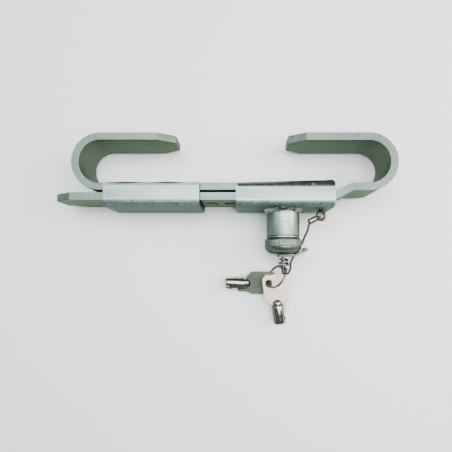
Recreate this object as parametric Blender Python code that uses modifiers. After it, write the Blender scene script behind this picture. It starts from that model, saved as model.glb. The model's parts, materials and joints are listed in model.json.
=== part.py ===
"""Adjustable two-hook lock for container and trailer door bars, lying flat on its guides.

Two J-shaped hooks are bent from flat bar that stands on edge. The fixed hook is welded to two folded
guides, and the sliding hook runs through them. A lock core in the barrel on the right guide pushes a
bolt through a hole of the sliding bar and into the fixed bar. A dust cap closes the barrel, and
carries the keys on a ring. Metres, +X along the bars, +Z up.
"""

import math

import bmesh
import bpy
from mathutils import Matrix, Vector

# Bars and hooks
BAR_THICKNESS = 0.007
BAR_LOW_Z = 0.0043
BAR_HIGH_Z = 0.0437
BAR_MID_Z = (BAR_LOW_Z + BAR_HIGH_Z) / 2
BAR_WIDTH = BAR_HIGH_Z - BAR_LOW_Z
FIXED_BAR_Y = 0.0416
SLIDING_BAR_Y = 0.0326
HOOK_BEND = 0.0231
HOOK_ARM_Y = FIXED_BAR_Y + 2 * HOOK_BEND
FIXED_HOOK_X = -0.1388
FIXED_TIP_X = -0.0470
FIXED_END_X = 0.0960
SLIDING_HOOK_X = 0.1560
SLIDING_TIP_X = 0.0588
SLIDING_TAIL_X = -0.1598
JOG_START_X = 0.0997
JOG_END_X = 0.1173
JOG_BEND = 0.010
TIP_CUT_X = 0.0160
TIP_CUT_Z = 0.0090

# Guides
GUIDE_PLATE = 0.004
GUIDE_HEIGHT = 0.048
GUIDE_WEB_Y = 0.0227
GUIDE_BEND = 0.005
LEFT_GUIDE_X = (-0.1112, -0.0224)
RIGHT_GUIDE_X = (0.0097, 0.1006)
LEFT_EDGE_Y = 0.0434
RIGHT_EDGE_Y = 0.0416
BEAD_OUTER_Y = 0.0451
BEAD_HEIGHT = 0.0028

# Lock
AXIS_X = 0.0552
AXIS_Z = GUIDE_HEIGHT / 2
HOLE_RADIUS = 0.0057
HOLE_PITCH = 0.0172
HOLE_COUNT = 8
BARREL_RADIUS = 0.016
BARREL_BORE = 0.0115
BARREL_END_Y = -0.0029
SLEEVE_RADIUS = 0.0112
SLEEVE_Y = (-0.0135, 0.0040)
KEYWAY_RADIUS = 0.00595
CHAMBER_RADIUS = 0.0077
CHAMBER_Y = -0.0068
DISC_RADIUS = 0.0074
PIN_COUNT = 7
PIN_CIRCLE = 0.0049
PIN_RADIUS = 0.00055
PIN_HOLE = 0.00085
BOLT_RADIUS = 0.0053
BOLT_TIP_Y = 0.0280
CAP_BORE = 0.0120
GAP = 0.0003

# Keys, ring and tether
RING_CENTRE = Vector((0.0493, -0.0421, 0.0176))
RING_RADIUS = 0.012
RING_WIRE = 0.00085
RING_ALONG = Vector((-0.64, -0.71, -0.30)).normalized()
RING_TILT = math.radians(57.0)
LINK_WIRE = 0.00085
KEY_PLATE = 0.0024
KEY_HOLE_AT = (0.0085, -0.0062)
KEY_LENGTH = 0.051
KEY_TUBE = 0.00575
TAB_WIDTH = 0.010
TETHER_RADIUS = 0.00115
EYE_LOOP = 0.0031
EYE_CENTRE = Vector((0.0923, 0.0170, AXIS_Z))
EYE_RADIUS = 0.0036
EYE_WIRE = 0.00135

TO_ACROSS = (math.pi / 2, 0.0, 0.0)
TO_ALONG = (math.pi / 2, 0.0, math.pi / 2)


def start_empty():
    for old in list(bpy.data.objects):
        bpy.data.objects.remove(old, do_unlink=True)


def new_collection(name):
    collection = bpy.data.collections.new(name)
    bpy.context.scene.collection.children.link(collection)
    return collection


start_empty()
PARTS = new_collection("door_bar_lock")
CUTTERS = new_collection("cutters")
MATERIALS = {}


def material(name, colour, metallic, roughness):
    made = bpy.data.materials.new(name)
    made.use_nodes = True
    shader = made.node_tree.nodes["Principled BSDF"]
    shader.inputs["Base Color"].default_value = (*colour, 1.0)
    shader.inputs["Metallic"].default_value = metallic
    shader.inputs["Roughness"].default_value = roughness
    MATERIALS[name] = made


def make_materials():
    material("zinc_steel", (0.50, 0.56, 0.54), 0.85, 0.42)
    material("weld_steel", (0.46, 0.52, 0.49), 0.80, 0.50)
    material("barrel_steel", (0.62, 0.68, 0.68), 0.95, 0.30)
    material("cap_steel", (0.55, 0.60, 0.56), 0.90, 0.40)
    material("hardened_steel", (0.45, 0.46, 0.47), 0.95, 0.30)
    material("brass", (0.78, 0.62, 0.32), 0.95, 0.30)
    material("spring_steel", (0.42, 0.43, 0.44), 0.95, 0.35)
    material("rubber", (0.03, 0.03, 0.03), 0.0, 0.70)
    material("key_dark", (0.34, 0.37, 0.34), 0.95, 0.38)
    material("key_nickel", (0.72, 0.68, 0.66), 0.95, 0.28)
    material("key_chrome", (0.80, 0.80, 0.80), 1.0, 0.12)
    material("tether_wire", (0.24, 0.26, 0.26), 0.70, 0.45)
    material("crimp_alloy", (0.60, 0.65, 0.62), 0.90, 0.38)


def place(obj, collection, material_name, location=(0, 0, 0), rotation=(0, 0, 0)):
    collection.objects.link(obj)
    obj.location = location
    obj.rotation_euler = rotation
    if material_name:
        obj.data.materials.append(MATERIALS[material_name])
    else:
        obj.hide_render = True
        obj.display_type = "WIRE"
    return obj


def home(material_name):
    return PARTS if material_name else CUTTERS


def to_mesh(curve_object, material_name):
    """Turns a curve object into a mesh object whose caps are welded to its sides."""
    bpy.context.view_layer.update()
    graph = bpy.context.evaluated_depsgraph_get()
    name = curve_object.name
    mesh = bpy.data.meshes.new_from_object(curve_object.evaluated_get(graph))
    cleaned = bmesh.new()
    cleaned.from_mesh(mesh)
    bmesh.ops.remove_doubles(cleaned, verts=cleaned.verts, dist=0.000001)
    bmesh.ops.recalc_face_normals(cleaned, faces=cleaned.faces)
    cleaned.to_mesh(mesh)
    cleaned.free()
    matrix = curve_object.matrix_world.copy()
    bpy.data.objects.remove(curve_object, do_unlink=True)
    solid = bpy.data.objects.new(name, mesh)
    place(solid, home(material_name), None)
    solid.hide_render = not material_name
    solid.display_type = "TEXTURED" if material_name else "WIRE"
    solid.matrix_world = matrix
    if material_name:
        mesh.materials.clear()
        mesh.materials.append(MATERIALS[material_name])
    return solid


def plate(name, outline, thickness, material_name=None, location=(0, 0, 0), rotation=(0, 0, 0)):
    """A flat outline in the local XY plane, extruded by half its thickness to each side."""
    data = bpy.data.curves.new(name, "CURVE")
    data.dimensions = "2D"
    data.fill_mode = "BOTH"
    data.extrude = thickness / 2
    spline = data.splines.new("POLY")
    spline.points.add(len(outline) - 1)
    for point, (x, y) in zip(spline.points, outline):
        point.co = (x, y, 0, 1)
    spline.use_cyclic_u = True
    obj = place(bpy.data.objects.new(name, data), CUTTERS, None, location, rotation)
    return to_mesh(obj, material_name)


def wire(name, points, radius, material_name, resolution=2, closed=False):
    """A round tube along the points, with filled ends."""
    data = bpy.data.curves.new(name, "CURVE")
    data.dimensions = "3D"
    data.bevel_depth = radius
    data.bevel_resolution = resolution
    data.use_fill_caps = not closed
    spline = data.splines.new("POLY")
    spline.points.add(len(points) - 1)
    for point, at in zip(spline.points, points):
        point.co = (*at, 1)
    spline.use_cyclic_u = closed
    obj = place(bpy.data.objects.new(name, data), CUTTERS, None)
    return to_mesh(obj, material_name)


def turned(name, profile, material_name=None, location=(0, 0, 0), rotation=TO_ACROSS, steps=48, ring=False):
    """Turns a profile of (radius, height) points about local Z, which runs down the outer side."""
    mesh = bpy.data.meshes.new(name)
    edges = [(i, i + 1) for i in range(len(profile) - 1)]
    if ring:
        edges.append((len(profile) - 1, 0))
    mesh.from_pydata([(r, 0, z) for r, z in profile], edges, [])
    obj = place(bpy.data.objects.new(name, mesh), home(material_name), material_name, location, rotation)
    screw = obj.modifiers.new("turn", "SCREW")
    screw.angle = 2 * math.pi
    screw.steps = steps
    screw.render_steps = steps
    screw.use_merge_vertices = True
    screw.merge_threshold = 0.00001
    return obj


def rod(name, radius, length, location, rotation=(0, 0, 0), material_name=None, sides=24):
    mesh = bpy.data.meshes.new(name)
    shape = bmesh.new()
    bmesh.ops.create_cone(
        shape, cap_ends=True, segments=sides, radius1=radius, radius2=radius, depth=length
    )
    shape.to_mesh(mesh)
    shape.free()
    return place(bpy.data.objects.new(name, mesh), home(material_name), material_name, location, rotation)


def block(name, size, location, material_name=None):
    mesh = bpy.data.meshes.new(name)
    shape = bmesh.new()
    bmesh.ops.create_cube(shape, size=1.0)
    bmesh.ops.scale(shape, vec=size, verts=shape.verts)
    shape.to_mesh(mesh)
    shape.free()
    return place(bpy.data.objects.new(name, mesh), home(material_name), material_name, location)


def cut(target, cutter):
    boolean = target.modifiers.new("cut_" + cutter.name, "BOOLEAN")
    boolean.operation = "DIFFERENCE"
    boolean.object = cutter
    boolean.solver = "EXACT"


def join(target, addition):
    boolean = target.modifiers.new("join_" + addition.name, "BOOLEAN")
    boolean.operation = "UNION"
    boolean.object = addition
    boolean.solver = "EXACT"


def bent_line(corners, steps=10):
    """Follows corners of (x, y, bend radius) and returns (point, direction) pairs with round bends."""
    line = []
    points = [Vector(c[:2]) for c in corners]
    for i, corner in enumerate(points):
        if i == 0 or i == len(points) - 1:
            other = points[1] if i == 0 else points[-2]
            heading = (other - corner).normalized() * (1 if i == 0 else -1)
            line.append((corner, heading))
            continue
        before = (corner - points[i - 1]).normalized()
        after = (points[i + 1] - corner).normalized()
        turn = before.angle_signed(after)
        radius = corners[i][2]
        start = corner - before * radius * math.tan(abs(turn) / 2)
        side = math.copysign(1.0, -turn)
        centre = start + side * radius * Vector((-before.y, before.x))
        for k in range(steps + 1):
            spin = Matrix.Rotation(-turn * k / steps, 2)
            line.append((centre + spin @ (start - centre), spin @ before))
    return line


def strip(corners, thickness, steps=10):
    """The closed outline of a strip of even thickness along a bent line."""
    line = bent_line(corners, steps)
    half = thickness / 2
    left = [p + half * Vector((-d.y, d.x)) for p, d in line]
    right = [p - half * Vector((-d.y, d.x)) for p, d in line]
    return [tuple(p) for p in left + right[::-1]]


def cut_tip(bar, tip_x, sign, middle_y):
    """Cuts both corners of a bar's end. The bar ends at tip_x and runs away from it along sign."""
    for label, edge_z, down in (("low", BAR_LOW_Z, 1), ("high", BAR_HIGH_Z, -1)):
        margin = 0.001
        wedge = [
            (tip_x - sign * margin, edge_z - down * margin),
            (tip_x + sign * TIP_CUT_X, edge_z - down * margin),
            (tip_x + sign * TIP_CUT_X, edge_z),
            (tip_x, edge_z + down * TIP_CUT_Z),
            (tip_x - sign * margin, edge_z + down * TIP_CUT_Z),
        ]
        name = f"{bar.name}_{label}_{'left' if sign < 0 else 'right'}_{round(middle_y * 1000)}"
        cutter = plate(name, wedge, 3 * BAR_THICKNESS, None, (0, middle_y, 0), TO_ACROSS)
        cut(bar, cutter)


def across_hole(name, x, y, radius, length, z=AXIS_Z):
    return rod(name, radius, length, (x, y, z), TO_ACROSS)


def make_fixed_hook():
    corners = [
        (FIXED_END_X, FIXED_BAR_Y, 0),
        (FIXED_HOOK_X, FIXED_BAR_Y, HOOK_BEND),
        (FIXED_HOOK_X, HOOK_ARM_Y, HOOK_BEND),
        (FIXED_TIP_X, HOOK_ARM_Y, 0),
    ]
    bar = plate(
        "fixed_hook_bar", strip(corners, BAR_THICKNESS), BAR_WIDTH, "zinc_steel", (0, 0, BAR_MID_Z)
    )
    cut_tip(bar, FIXED_TIP_X, -1, HOOK_ARM_Y)
    cut(bar, across_hole("fixed_bolt_hole", AXIS_X, FIXED_BAR_Y, HOLE_RADIUS, 2 * BAR_THICKNESS))


def make_sliding_hook():
    corners = [
        (SLIDING_TAIL_X, SLIDING_BAR_Y, 0),
        (JOG_START_X, SLIDING_BAR_Y, JOG_BEND),
        (JOG_END_X, FIXED_BAR_Y, JOG_BEND),
        (SLIDING_HOOK_X, FIXED_BAR_Y, HOOK_BEND),
        (SLIDING_HOOK_X, HOOK_ARM_Y, HOOK_BEND),
        (SLIDING_TIP_X, HOOK_ARM_Y, 0),
    ]
    bar = plate(
        "sliding_hook_bar", strip(corners, BAR_THICKNESS), BAR_WIDTH, "zinc_steel", (0, 0, BAR_MID_Z)
    )
    cut_tip(bar, SLIDING_TIP_X, 1, HOOK_ARM_Y)
    cut_tip(bar, SLIDING_TAIL_X, 1, SLIDING_BAR_Y)
    for k in range(HOLE_COUNT):
        hole = across_hole(
            f"row_hole_{k + 1}", AXIS_X - k * HOLE_PITCH, SLIDING_BAR_Y, HOLE_RADIUS, 2 * BAR_THICKNESS
        )
        cut(bar, hole)


def make_guide(name, ends, edge_y):
    mean_web = GUIDE_WEB_Y + GUIDE_PLATE / 2
    low = GUIDE_PLATE / 2
    high = GUIDE_HEIGHT - GUIDE_PLATE / 2
    corners = [
        (edge_y, low, 0),
        (mean_web, low, GUIDE_BEND),
        (mean_web, high, GUIDE_BEND),
        (edge_y, high, 0),
    ]
    middle = (ends[0] + ends[1]) / 2
    return plate(
        name, strip(corners, GUIDE_PLATE, 6), ends[1] - ends[0], "zinc_steel", (middle, 0, 0), TO_ALONG
    )


def make_guides():
    make_guide("left_guide", LEFT_GUIDE_X, LEFT_EDGE_Y)
    right = make_guide("right_guide", RIGHT_GUIDE_X, RIGHT_EDGE_Y)
    web = GUIDE_WEB_Y + GUIDE_PLATE / 2
    cut(right, across_hole("web_bolt_hole", AXIS_X, web, HOLE_RADIUS, 3 * GUIDE_PLATE))


def make_bead(name, ends, edge_y, low_z, bulge):
    """A weld bead between a guide's edge and the fixed bar. bulge(at) is its swelling, at from 0 to 1."""
    count = 24
    inner_y = edge_y + GAP
    outline = [(ends[0], inner_y), (ends[1], inner_y)]
    for k in range(count + 1):
        at = 1 - k / count
        outline.append((ends[0] + (ends[1] - ends[0]) * at, BEAD_OUTER_Y + bulge(at)))
    plate(name, outline, BEAD_HEIGHT, "weld_steel", (0, 0, low_z + BEAD_HEIGHT / 2))


def left_bulge(at):
    return 0.0008 * math.sin(2 * math.pi * (1.1 * at + 0.02)) ** 2 - 0.0004


def right_bulge(at):
    return 0.0025 * at + 0.0002 * math.sin(9 * math.pi * at)


def make_beads():
    top = BAR_HIGH_Z + GAP
    bottom = BAR_LOW_Z - GAP - BEAD_HEIGHT
    inset = 0.0008
    left = (LEFT_GUIDE_X[0] + inset, LEFT_GUIDE_X[1] - inset)
    right = (RIGHT_GUIDE_X[0] + inset, FIXED_END_X - inset)
    make_bead("left_weld_upper", left, LEFT_EDGE_Y, top, left_bulge)
    make_bead("left_weld_lower", left, LEFT_EDGE_Y, bottom, left_bulge)
    make_bead("right_weld_upper", right, RIGHT_EDGE_Y, top, right_bulge)
    make_bead("right_weld_lower", right, RIGHT_EDGE_Y, bottom, right_bulge)


def on_axis(name, profile, material_name, x=AXIS_X, steps=48, ring=False):
    """A piece turned about a line along Y through the lock, from (radius, y) points, lowest y first."""
    points = [(r, -y) for r, y in profile]
    return turned(name, points, material_name, (x, 0, AXIS_Z), TO_ACROSS, steps, ring)


def make_barrel():
    web_side = GUIDE_WEB_Y - GAP
    barrel = on_axis(
        "lock_barrel",
        [
            (BARREL_BORE, BARREL_END_Y),
            (BARREL_RADIUS, BARREL_END_Y),
            (BARREL_RADIUS, web_side),
            (BARREL_BORE, web_side),
        ],
        "barrel_steel",
        ring=True,
    )
    pin_y = 0.0005
    cut(barrel, rod("stop_pin_hole", 0.0018, 0.008, (AXIS_X, pin_y, AXIS_Z - 0.0135)))
    rod("core_stop_pin", 0.0015, 0.0064, (AXIS_X, pin_y, AXIS_Z - 0.0126), (0, 0, 0), "hardened_steel", 16)
    weld_inner = BARREL_RADIUS + GAP
    on_axis(
        "barrel_weld",
        [(weld_inner, 0.0184), (0.0173, 0.0196), (0.0196, web_side), (weld_inner, web_side)],
        "weld_steel",
        ring=True,
    )
    on_axis(
        "barrel_end_ring",
        [(0.0123, -0.0048), (0.0156, -0.0048), (0.0158, -0.0032), (0.0123, -0.0032)],
        "cap_steel",
        ring=True,
    )


def make_core():
    front, back = SLEEVE_Y
    sleeve = on_axis(
        "core_sleeve",
        [
            (KEYWAY_RADIUS, front),
            (SLEEVE_RADIUS - 0.0006, front),
            (SLEEVE_RADIUS, front + 0.0006),
            (SLEEVE_RADIUS, back),
            (CHAMBER_RADIUS, back),
            (CHAMBER_RADIUS, CHAMBER_Y),
            (KEYWAY_RADIUS, CHAMBER_Y),
        ],
        "barrel_steel",
        ring=True,
    )
    slot_y = (-0.0129, 0.0024)
    slot = block(
        "stop_slot",
        (0.0038, slot_y[1] - slot_y[0], 0.004),
        (AXIS_X, sum(slot_y) / 2, AXIS_Z - 0.0110),
    )
    cut(sleeve, slot)
    disc = [(0, -0.0023), (DISC_RADIUS, -0.0023), (DISC_RADIUS, 0.0037), (0, 0.0037)]
    base = on_axis("core_base", disc, "brass")
    on_axis(
        "lock_bolt",
        [
            (0, 0.0043),
            (0.0066, 0.0043),
            (0.0066, 0.0063),
            (BOLT_RADIUS, 0.0063),
            (BOLT_RADIUS, BOLT_TIP_Y - 0.0015),
            (BOLT_RADIUS - 0.0015, BOLT_TIP_Y),
            (0, BOLT_TIP_Y),
        ],
        "hardened_steel",
    )
    plug = on_axis(
        "key_plug",
        [
            (0, -0.0132),
            (0.0037, -0.0132),
            (0.0040, -0.0129),
            (0.0040, -0.0065),
            (DISC_RADIUS, -0.0065),
            (DISC_RADIUS, -0.0026),
            (0, -0.0026),
        ],
        "brass",
        steps=32,
    )
    for k in range(PIN_COUNT):
        angle = 2 * math.pi * k / PIN_COUNT
        x = AXIS_X + PIN_CIRCLE * math.cos(angle)
        z = AXIS_Z + PIN_CIRCLE * math.sin(angle)
        label = k + 1
        cut(plug, rod(f"plug_hole_{label}", PIN_HOLE, 0.0062, (x, -0.0045, z), TO_ACROSS, None, 12))
        cut(base, rod(f"base_hole_{label}", PIN_HOLE, 0.0080, (x, -0.0013, z), TO_ACROSS, None, 12))
        rod(f"key_pin_{label}", PIN_RADIUS, 0.0046, (x, -0.0051, z), TO_ACROSS, "brass", 10)
        rod(f"driver_pin_{label}", PIN_RADIUS, 0.0020, (x, -0.00105, z), TO_ACROSS, "hardened_steel", 10)
        coil = helix((x, 0.0002, z), (x, 0.0024, z), 0.00042, 3.5, 8)
        wire(f"pin_spring_{label}", coil, 0.00011, "spring_steel", 0)
    coil = helix((AXIS_X, 0.0050, AXIS_Z), (AXIS_X, 0.0216, AXIS_Z), 0.0084, 4, 14)
    wire("bolt_spring", coil, 0.0006, "spring_steel")


def helix(start, end, radius, turns, points_per_turn, radius_at=None):
    """Points of a coil about the line from start to end."""
    start, end = Vector(start), Vector(end)
    axis = (end - start).normalized()
    up = Vector((0, 0, 1))
    side = axis.cross(up).normalized()
    up = side.cross(axis)
    count = round(turns * points_per_turn)
    points = []
    for k in range(count + 1):
        at = k / count
        angle = 2 * math.pi * turns * at
        r = radius_at(at) if radius_at else radius
        points.append(start.lerp(end, at) + r * (math.cos(angle) * up + math.sin(angle) * side))
    return points


def smooth(points, spacing):
    """A Catmull-Rom curve through the points, read at an even spacing."""
    points = [Vector(p) for p in points]
    padded = [2 * points[0] - points[1]] + points + [2 * points[-1] - points[-2]]
    fine = []
    for a, b, c, d in zip(padded, padded[1:], padded[2:], padded[3:]):
        for k in range(20):
            t = k / 20
            squares = (2 * a - 5 * b + 4 * c - d) * t * t
            cubes = (3 * b - a - 3 * c + d) * t**3
            fine.append(0.5 * (2 * b + (c - a) * t + squares + cubes))
    fine.append(points[-1])
    total = sum((q - p).length for p, q in zip(fine, fine[1:]))
    count = max(2, round(total / spacing))
    step = total / count
    even = [fine[0]]
    gone = 0.0
    for p, q in zip(fine, fine[1:]):
        length = (q - p).length
        while len(even) < count and gone + length >= step * len(even):
            even.append(p.lerp(q, (step * len(even) - gone) / length))
        gone += length
    even.append(fine[-1])
    return even


def make_cap():
    on_axis(
        "dust_cap",
        [
            (0.0020, -0.0207),
            (0.0060, -0.0206),
            (0.0098, -0.0202),
            (0.0125, -0.0195),
            (0.0152, -0.0180),
            (0.0166, -0.0166),
            (0.0176, -0.0146),
            (0.0182, -0.0128),
            (0.0182, -0.0070),
            (0.0164, -0.0052),
            (CAP_BORE, -0.0052),
            (CAP_BORE, -0.0066),
            (0.0134, -0.0066),
            (0.0134, -0.0094),
            (CAP_BORE, -0.0094),
            (CAP_BORE, -0.0158),
            (0.0020, -0.0158),
        ],
        "cap_steel",
        ring=True,
        steps=56,
    )
    on_axis(
        "cap_seal",
        [
            (0.0123 + 0.0008 * math.cos(a), -0.0080 - 0.0008 * math.sin(a))
            for a in (math.radians(90 - 45 * k) for k in range(8))
        ],
        "rubber",
        ring=True,
    )
    on_axis(
        "cap_stud",
        [
            (0, -0.0276),
            (0.0020, -0.0276),
            (0.0024, -0.0272),
            (0.0024, -0.0266),
            (0.0015, -0.0266),
            (0.0015, -0.0229),
            (0.0017, -0.0229),
            (0.0017, -0.0155),
            (0.0032, -0.0155),
            (0.0032, -0.0144),
            (0, -0.0144),
        ],
        "cap_steel",
        steps=24,
    )
    corners = [(0.0490, -0.0219, 0), (0.0654, -0.0219, 0.004), (0.0762, -0.0170, 0)]
    tab = plate("tether_tab", strip(corners, 0.0018, 4), TAB_WIDTH, "cap_steel", (0, 0, AXIS_Z))
    cut(tab, across_hole("tab_stud_hole", AXIS_X, -0.0219, 0.0020, 0.006))
    join(tab, rod("tab_curl", 0.0021, TAB_WIDTH, (0.0764, -0.0158, AXIS_Z)))


def ring_frame():
    """The ring's three directions: towards its far end, across it, and its normal."""
    flat = Vector((-RING_ALONG.y, RING_ALONG.x, 0)).normalized()
    if flat.x < 0:
        flat = -flat
    rise = RING_ALONG.cross(flat)
    if rise.z < 0:
        rise = -rise
    across = math.cos(RING_TILT) * flat + math.sin(RING_TILT) * rise
    return RING_ALONG, across, RING_ALONG.cross(across)


def ring_point(angle):
    along, across, _ = ring_frame()
    return RING_CENTRE + RING_RADIUS * (math.cos(angle) * along + math.sin(angle) * across)


def make_link_and_ring():
    along, across, normal = ring_frame()
    held = ring_point(math.pi)
    start = (AXIS_X, -0.0238, AXIS_Z)
    end = (AXIS_X + 0.0010, -0.0322, AXIS_Z - 0.0015)

    def widen(at):
        grown = min(1.0, max(0.0, (at - 0.09) / 0.14))
        return 0.00255 + 0.00135 * grown * grown * (3 - 2 * grown)

    coil = helix(start, end, 0, 3.25, 14, widen)
    loop = [
        held + 0.0027 * (math.cos(a) * along - math.sin(a) * normal)
        for a in (math.radians(200 + 26 * k) for k in range(11))
    ]
    wire("swivel_link", coil + loop, LINK_WIRE, "spring_steel")
    count = 48
    points = [ring_point(2 * math.pi * k / count) for k in range(count)]
    wire("key_ring", points, RING_WIRE, "spring_steel", 2, True)


def key_matrix(hole_at, heading, roll):
    """Carries the key's own frame, +X to its tip and +Z up from its plate, to its place."""
    x = Vector(heading).normalized()
    y = Vector((0, 0, 1)).cross(x).normalized()
    z = x.cross(y)
    turn = Matrix((x, y, z)).transposed().to_4x4()
    placed = turn @ Matrix.Rotation(roll, 4, "X")
    hole = placed @ Vector((*KEY_HOLE_AT, 0))
    return Matrix.Translation(Vector(hole_at) - hole) @ placed


def make_key(label, matrix, bow_material):
    bow = plate(
        f"{label}_bow",
        [
            (0, -0.0088),
            (0, 0.0088),
            (0.0034, 0.0121),
            (0.0242, 0.0121),
            (0.0292, 0.0094),
            (0.0380, 0.0092),
            (0.0386, 0.0085),
            (0.0386, 0.0066),
            (0.0300, 0.0062),
            (0.0305, -0.0062),
            (0.0248, -0.0121),
            (0.0034, -0.0121),
        ],
        KEY_PLATE,
        bow_material,
    )
    bow.matrix_world = matrix
    x, y = KEY_HOLE_AT
    hole = plate(
        f"{label}_ring_hole",
        [
            (x - 0.0030, y - 0.0032),
            (x - 0.0044, y + 0.0006),
            (x - 0.0032, y + 0.0034),
            (x + 0.0010, y + 0.0036),
            (x + 0.0042, y + 0.0020),
            (x + 0.0042, y - 0.0012),
            (x + 0.0014, y - 0.0034),
        ],
        3 * KEY_PLATE,
    )
    hole.matrix_world = matrix
    cut(bow, hole)

    def nose(grow):
        """The shank's closed round end, grown by a clearance."""
        radius = KEY_TUBE + grow
        depth = 0.0040 + grow
        start = 0.0268 + 0.0040
        turns = (math.radians(90 * k / 4) for k in range(5))
        return [(radius * math.cos(a) if a < 1.57 else 0, start - depth * math.sin(a)) for a in turns]

    along_key = matrix @ Matrix.Rotation(math.pi / 2, 4, "Y")
    around = [(0, 0.060), (KEY_TUBE + 0.0004, 0.060), *nose(0.0004)]
    relief = turned(f"{label}_shank_relief", around, steps=32)
    relief.matrix_world = along_key
    cut(bow, relief)
    shank = turned(
        f"{label}_shank",
        [
            (0, KEY_LENGTH - 0.010),
            (0.0043, KEY_LENGTH - 0.010),
            (0.0043, KEY_LENGTH),
            (KEY_TUBE - 0.0004, KEY_LENGTH),
            (KEY_TUBE, KEY_LENGTH - 0.0004),
            *nose(0.0),
        ],
        "key_chrome",
        steps=32,
    )
    shank.matrix_world = along_key
    nib = block(f"{label}_nib", (0.0020, 0.0016, 0.0030), (0, 0, 0))
    nib.matrix_world = matrix @ Matrix.Translation((KEY_LENGTH - 0.0045, KEY_TUBE + 0.0002, 0))
    join(shank, nib)


def make_keys():
    lower_hole = (0.0411, -0.0432, 0.0062 + 0.0021)
    make_key("key_1", key_matrix(lower_hole, (-1, 0, 0), math.radians(-20)), "key_dark")
    pitch = math.radians(9.4)
    heading = (0.137 * math.cos(pitch), -0.9906 * math.cos(pitch), -math.sin(pitch))
    upper_hole = (0.0418, -0.0495, 0.0130)
    make_key("key_2", key_matrix(upper_hole, heading, 0), "key_nickel")


def make_eye():
    """A welded eye on the guide's web, with its hole along Z."""
    count = 20
    turns = (2 * math.pi * k / count for k in range(count))
    points = [EYE_CENTRE + EYE_RADIUS * Vector((math.cos(a), math.sin(a), 0)) for a in turns]
    eye = wire("tether_eye", points, EYE_WIRE, "zinc_steel", 2, True)
    web_side = GUIDE_WEB_Y - GAP
    neck = [(0, 0.0204), (0.0018, 0.0204), (0.0019, 0.0214), (0.0028, web_side), (0, web_side)]
    join(eye, on_axis("eye_neck", neck, None, EYE_CENTRE.x, 20))


def make_tether():
    """A cable that loops through the eye, hangs past the cap and loops round the key ring."""
    heading = Vector((0.90, 0.436, 0)).normalized()
    up = Vector((0, 0, 1))
    spread = 0.0014 * up
    held = EYE_CENTRE - EYE_RADIUS * heading
    near = held - 0.0027 * heading
    far = near - 0.0060 * heading
    turns = (math.radians(-100 + 25 * k) for k in range(9))
    loop = [held + EYE_LOOP * (math.cos(a) * heading + math.sin(a) * up) for a in turns]
    route = [far + 0.0008 * heading - spread, near - spread]
    route += loop
    route += [near + spread, far + spread]
    route += [
        Vector((0.0804, 0.0086, 0.0249)),
        Vector((0.0795, 0.0035, 0.0230)),
        Vector((0.0774, -0.0023, 0.0190)),
        Vector((0.0752, -0.0091, 0.0150)),
        Vector((0.0725, -0.0141, 0.0127)),
        Vector((0.0694, -0.0193, 0.0128)),
        Vector((0.0659, -0.0240, 0.0150)),
        Vector((0.0632, -0.0293, 0.0192)),
        Vector((0.0623, -0.0340, 0.0250)),
    ]
    angle = math.radians(152)
    along, across, normal = ring_frame()
    outward = math.cos(angle) * along + math.sin(angle) * across
    turns = (math.radians(-75 - 38 * k) for k in range(8))
    route += [ring_point(angle) + EYE_LOOP * (math.cos(a) * outward + math.sin(a) * normal) for a in turns]
    wire("tether_cable", smooth(route, 0.0028), TETHER_RADIUS, "tether_wire")
    make_crimp("upper_crimp", near, far)


def make_crimp(name, near, far):
    """An oval crimp sleeve over two strands that lie one above the other."""

    def oval(half_width, half_height):
        rise = half_height - half_width
        outline = []
        for side in (1, -1):
            for k in range(9):
                a = math.pi * k / 8
                outline.append((side * half_width * math.cos(a), side * (half_width * math.sin(a) + rise)))
        return outline

    length = (near - far).length
    outer = plate(name, oval(0.0022, 0.0036), length, "crimp_alloy")
    inner = plate(f"{name}_bore", oval(0.00155, 0.00295), 2 * length)
    heading = (near - far).normalized()
    side = Vector((0, 0, 1)).cross(heading)
    frame = Matrix((side, Vector((0, 0, 1)), heading)).transposed().to_4x4()
    frame.translation = (near + far) / 2
    outer.matrix_world = frame
    inner.matrix_world = frame
    cut(outer, inner)


make_materials()
make_fixed_hook()
make_sliding_hook()
make_guides()
make_beads()
make_barrel()
make_core()
make_cap()
make_link_and_ring()
make_keys()
make_eye()
make_tether()
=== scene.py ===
"""Looks for the adjustable door bar lock: camera, light, detailed pieces and procedural materials."""

import json
import math

import bmesh
import bpy
from mathutils import Matrix, Vector, noise


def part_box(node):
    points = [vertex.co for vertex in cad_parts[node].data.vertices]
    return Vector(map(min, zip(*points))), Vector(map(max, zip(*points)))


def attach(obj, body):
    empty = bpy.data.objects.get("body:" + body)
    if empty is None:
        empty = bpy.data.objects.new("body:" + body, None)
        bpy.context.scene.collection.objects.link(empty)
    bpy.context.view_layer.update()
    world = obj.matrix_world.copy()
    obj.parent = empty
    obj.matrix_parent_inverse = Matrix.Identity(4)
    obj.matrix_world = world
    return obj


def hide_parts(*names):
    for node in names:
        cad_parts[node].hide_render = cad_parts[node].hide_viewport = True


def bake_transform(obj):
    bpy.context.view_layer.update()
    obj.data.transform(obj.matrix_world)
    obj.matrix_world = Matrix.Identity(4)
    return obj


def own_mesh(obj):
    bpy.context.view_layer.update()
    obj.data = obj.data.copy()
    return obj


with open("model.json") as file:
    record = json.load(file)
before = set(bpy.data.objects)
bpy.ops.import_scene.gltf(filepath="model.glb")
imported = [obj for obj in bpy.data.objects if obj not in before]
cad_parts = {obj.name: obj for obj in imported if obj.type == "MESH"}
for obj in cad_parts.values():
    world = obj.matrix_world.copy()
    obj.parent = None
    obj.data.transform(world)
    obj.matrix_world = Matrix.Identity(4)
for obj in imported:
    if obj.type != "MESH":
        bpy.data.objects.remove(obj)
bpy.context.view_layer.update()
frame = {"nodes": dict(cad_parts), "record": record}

NODES = frame["nodes"]
UP = Vector((0, 0, 1))

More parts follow.
